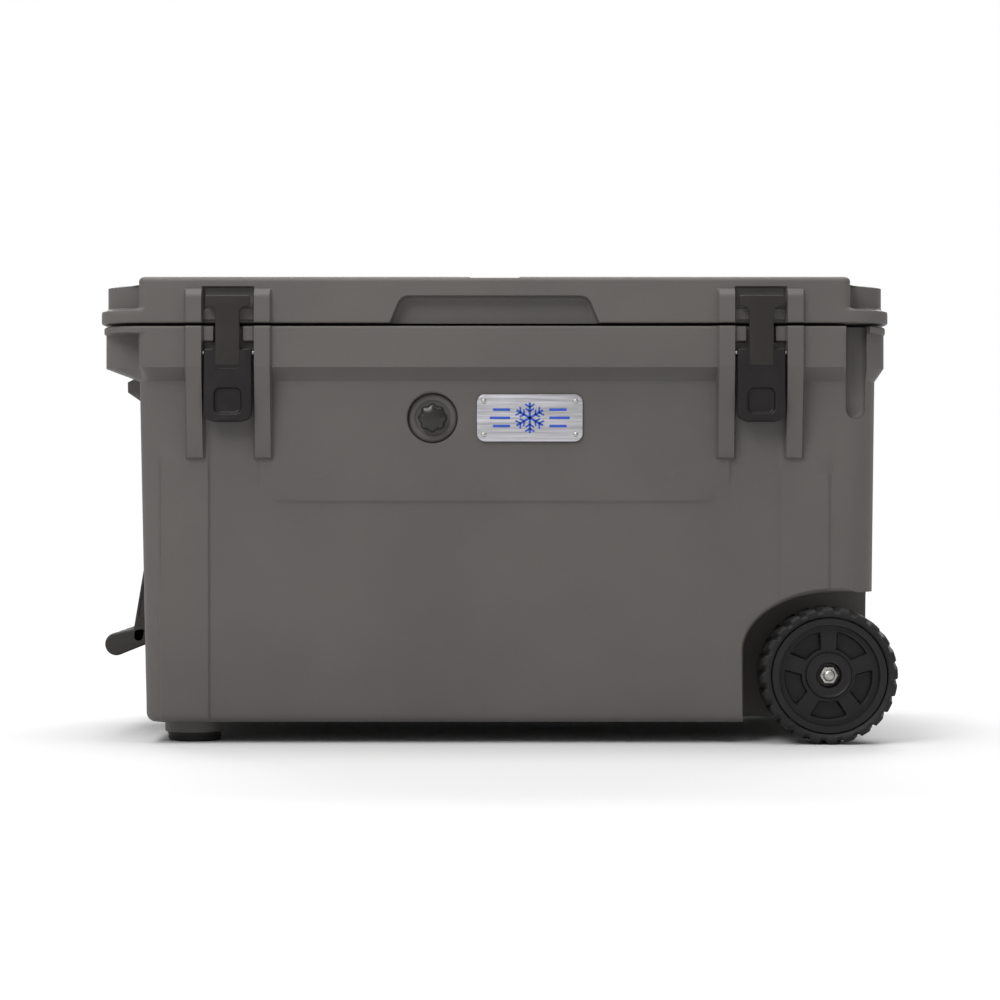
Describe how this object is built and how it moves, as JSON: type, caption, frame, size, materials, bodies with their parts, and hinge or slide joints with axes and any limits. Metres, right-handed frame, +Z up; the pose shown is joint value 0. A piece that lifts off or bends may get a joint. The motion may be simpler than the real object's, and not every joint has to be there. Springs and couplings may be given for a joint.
{
  "type": "wheeled cooler",
  "caption": "Hard-sided insulated cooler on wheels with a hinged lid, over-centre latches and a fold-out tow handle.",
  "frame": {"origin": "on the floor, under the middle of the overall box", "axes": "+Z up, front with the latches faces -Y, wheels at the +X end, tow handle at the -X end"},
  "size_m": [0.7858, 0.444, 0.455],
  "materials": {
    "moulded_shell": "rotomoulded polyethylene, fine moulded grain, satin",
    "foam": "rigid polyurethane foam, injected between the skins",
    "seal_rubber": "soft extruded seal",
    "grip_rubber": "hard rubber, matt",
    "tyre": "moulded solid tyre, semi-matt",
    "latch_rubber": "hard elastomer, satin",
    "badge_metal": "brushed",
    "steel": "zinc plated",
    "black_plastic": "moulded nylon and polypropylene, satin black"
  },
  "bodies": {
    "root": {"body_shell": "moulded_shell", "body_liner": "moulded_shell", "body_foam": "foam", "body_foam_plug": "black_plastic", "hinge_rod_left": "steel", "hinge_rod_right": "steel", "lever_pin_left": "steel", "lever_pin_right": "steel", "badge_plate": "badge_metal", "badge_rivet_1": "steel", "badge_rivet_2": "steel", "badge_rivet_3": "steel", "badge_rivet_4": "steel", "vent_insert": "black_plastic", "drain_insert": "black_plastic", "washer_front": "steel", "axle_nut_front": "steel", "wheel_spacer_front": "black_plastic", "washer_rear": "steel", "axle_nut_rear": "steel", "wheel_spacer_rear": "black_plastic", "axle": "steel", "rubber_foot_front": "grip_rubber", "foot_screw_front": "steel", "rubber_foot_rear": "grip_rubber", "foot_screw_rear": "steel", "tow_rod": "steel"},
    "lid": {"lid_shell": "moulded_shell", "lid_foam": "foam", "lid_foam_plug": "black_plastic", "lid_gasket": "seal_rubber"},
    "lever_left": {"latch_lever_left": "latch_rubber", "link_pin_left": "steel"},
    "link_left": {"latch_link_left": "latch_rubber"},
    "lever_right": {"latch_lever_right": "latch_rubber", "link_pin_right": "steel"},
    "link_right": {"latch_link_right": "latch_rubber"},
    "tow_handle": {"tow_arm_front": "black_plastic", "tow_arm_rear": "black_plastic", "tow_grip": "grip_rubber", "tow_grip_tube": "steel"},
    "wheel_front": {"tyre_front": "tyre", "rim_front": "black_plastic", "wheel_bush_front": "black_plastic"},
    "wheel_rear": {"tyre_rear": "tyre", "rim_rear": "black_plastic", "wheel_bush_rear": "black_plastic"},
    "vent": {"vent_knob": "black_plastic", "vent_seal": "seal_rubber"},
    "drain": {"drain_plug": "black_plastic", "drain_seal": "seal_rubber"}
  },
  "joints": [
    {"name": "lid_hinge", "type": "hinge", "parent": "root", "child": "lid", "pos_m": [0, 0.216, 0.4085], "axis": [-1, 0, 0], "range_deg": [0, 95]},
    {"name": "latch_lever_left", "type": "hinge", "parent": "root", "child": "lever_left", "pos_m": [-0.2585, -0.2135, 0.381], "axis": [-1, 0, 0], "range_deg": [0, 95]},
    {"name": "latch_link_left", "type": "hinge", "parent": "lever_left", "child": "link_left", "pos_m": [-0.2585, -0.218, 0.372], "axis": [-1, 0, 0], "range_deg": [-105, 0]},
    {"name": "latch_lever_right", "type": "hinge", "parent": "root", "child": "lever_right", "pos_m": [0.2585, -0.2135, 0.381], "axis": [-1, 0, 0], "range_deg": [0, 95]},
    {"name": "latch_link_right", "type": "hinge", "parent": "lever_right", "child": "link_right", "pos_m": [0.2585, -0.218, 0.372], "axis": [-1, 0, 0], "range_deg": [-105, 0]},
    {"name": "tow_handle", "type": "hinge", "parent": "root", "child": "tow_handle", "pos_m": [-0.3237, 0, 0.312], "axis": [0, 1, 0], "range_deg": [0, 88]},
    {"name": "wheel_front", "type": "hinge", "parent": "root", "child": "wheel_front", "pos_m": [0.326, -0.187, 0.067], "axis": [0, 1, 0], "continuous": true},
    {"name": "wheel_rear", "type": "hinge", "parent": "root", "child": "wheel_rear", "pos_m": [0.326, 0.187, 0.067], "axis": [0, 1, 0], "continuous": true},
    {"name": "vent_knob", "type": "hinge", "parent": "root", "child": "vent", "pos_m": [-0.0605, -0.202, 0.318], "axis": [0, -1, 0], "range_deg": [0, 270]},
    {"name": "drain_plug", "type": "hinge", "parent": "root", "child": "drain", "pos_m": [-0.349, 0, 0.08], "axis": [-1, 0, 0], "range_deg": [0, 270]}
  ],
  "couplings": [
    {"joint": "latch_link_left", "follows": "latch_lever_left", "ratio": -1.1},
    {"joint": "latch_link_right", "follows": "latch_lever_right", "ratio": -1.1}
  ]
}
